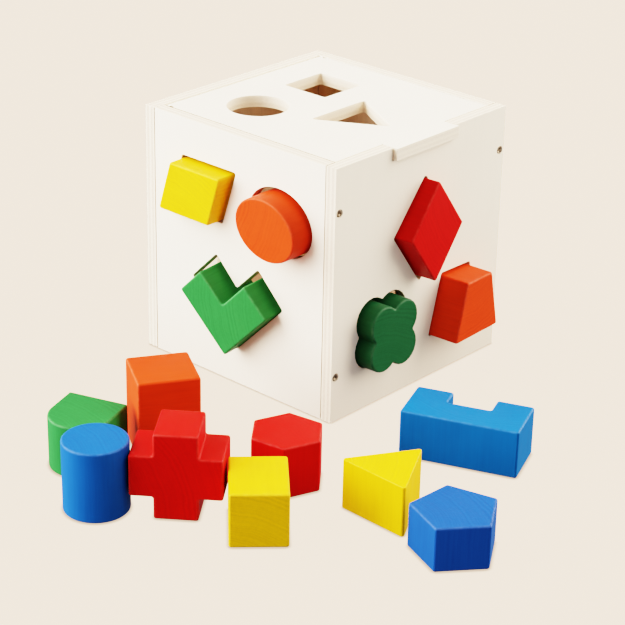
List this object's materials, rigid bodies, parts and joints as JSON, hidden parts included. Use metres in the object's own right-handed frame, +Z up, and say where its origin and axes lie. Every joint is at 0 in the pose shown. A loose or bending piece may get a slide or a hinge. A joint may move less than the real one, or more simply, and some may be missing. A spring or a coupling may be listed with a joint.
{
  "type": "shape sorter",
  "caption": "Wooden shape sorter: a white plywood cube with shaped holes and a hinged lid, six blocks stuck in their holes and nine beside it.",
  "frame": {"origin": "centre of the box's underside, on the plane that the box and the loose blocks stand on", "axes": "+Z up, +X to the right along the front panel, +Y from the front panel to the back panel"},
  "size_m": [0.302, 0.3134, 0.15],
  "materials": {
    "white_painted_plywood": "thin satin white paint over birch plywood, bare tan ply layers on the sawn hole edges",
    "steel": "dull plated steel",
    "yellow_painted_wood": "satin paint over beech, faint end grain and softened edges",
    "orange_painted_wood": "satin paint over beech, faint end grain and softened edges",
    "red_painted_wood": "satin paint over beech, faint end grain and softened edges",
    "green_painted_wood": "satin paint over beech, faint end grain and softened edges",
    "dark_green_painted_wood": "satin paint over beech, faint end grain and softened edges",
    "blue_painted_wood": "satin paint over beech, faint end grain and softened edges"
  },
  "bodies": {
    "box": {"bottom_panel": "white_painted_plywood", "front_panel": "white_painted_plywood", "back_panel": "white_painted_plywood", "left_panel": "white_painted_plywood", "right_panel": "white_painted_plywood", "lid_pin_front": "steel", "lid_pin_back": "steel", "left_screw_1": "steel", "left_screw_2": "steel", "left_screw_3": "steel", "left_screw_4": "steel", "right_screw_1": "steel", "right_screw_2": "steel", "right_screw_3": "steel", "right_screw_4": "steel"},
    "lid_body": {"lid": "white_painted_plywood"},
    "circle": {"circle_block": "blue_painted_wood"},
    "square": {"square_block": "yellow_painted_wood"},
    "triangle": {"triangle_block": "yellow_painted_wood"},
    "parallelogram": {"parallelogram_block": "yellow_painted_wood"},
    "ellipse": {"ellipse_block": "orange_painted_wood"},
    "chevron": {"chevron_block": "green_painted_wood"},
    "rhombus": {"rhombus_block": "red_painted_wood"},
    "trapezoid": {"trapezoid_block": "orange_painted_wood"},
    "quatrefoil": {"quatrefoil_block": "dark_green_painted_wood"},
    "hexagon": {"hexagon_block": "red_painted_wood"},
    "pentagon": {"pentagon_block": "blue_painted_wood"},
    "notched_bar": {"notched_bar_block": "blue_painted_wood"},
    "cross": {"cross_block": "red_painted_wood"},
    "arch": {"arch_block": "green_painted_wood"},
    "rectangle": {"rectangle_block": "orange_painted_wood"}
  },
  "joints": [
    {"name": "lid_hinge", "type": "hinge", "parent": "box", "child": "lid_body", "pos_m": [-0.0596, 0, 0.1465], "axis": [0, -1, 0], "range_deg": [0, 110]},
    {"name": "circle_lift", "type": "slide", "parent": "box", "child": "circle", "axis": [0, 0, 1], "range_m": [0, 0.1]},
    {"name": "square_lift", "type": "slide", "parent": "box", "child": "square", "axis": [0, 0, 1], "range_m": [0, 0.1]},
    {"name": "triangle_lift", "type": "slide", "parent": "box", "child": "triangle", "axis": [0, 0, 1], "range_m": [0, 0.1]},
    {"name": "parallelogram_slide", "type": "slide", "parent": "box", "child": "parallelogram", "axis": [0, -1, -0.0087], "range_m": [-0.0179, 0.026]},
    {"name": "ellipse_slide", "type": "slide", "parent": "box", "child": "ellipse", "axis": [0, -1, -0.0087], "range_m": [-0.0211, 0.026]},
    {"name": "chevron_slide", "type": "slide", "parent": "box", "child": "chevron", "axis": [0.0471, -0.9979, -0.0436], "range_m": [-0.019, 0.026]},
    {"name": "rhombus_slide", "type": "slide", "parent": "box", "child": "rhombus", "axis": [0.9993, 0.0262, 0.0262], "range_m": [-0.0191, 0.026]},
    {"name": "trapezoid_slide", "type": "slide", "parent": "box", "child": "trapezoid", "axis": [0.9981, 0.061, 0], "range_m": [-0.0258, 0.026]},
    {"name": "quatrefoil_slide", "type": "slide", "parent": "box", "child": "quatrefoil", "axis": [0.9997, 0, 0.0262], "range_m": [-0.0185, 0.026]},
    {"name": "hexagon_lift", "type": "slide", "parent": "box", "child": "hexagon", "axis": [0, 0, 1], "range_m": [0, 0.1]},
    {"name": "pentagon_lift", "type": "slide", "parent": "box", "child": "pentagon", "axis": [0, 0, 1], "range_m": [0, 0.1]},
    {"name": "notched_bar_lift", "type": "slide", "parent": "box", "child": "notched_bar", "axis": [0, 0, 1], "range_m": [0, 0.1]},
    {"name": "cross_lift", "type": "slide", "parent": "box", "child": "cross", "axis": [0, 0, 1], "range_m": [0, 0.1]},
    {"name": "arch_lift", "type": "slide", "parent": "box", "child": "arch", "axis": [0, 0, 1], "range_m": [0, 0.1]},
    {"name": "rectangle_lift", "type": "slide", "parent": "box", "child": "rectangle", "axis": [0, 0, 1], "range_m": [0, 0.1]}
  ]
}
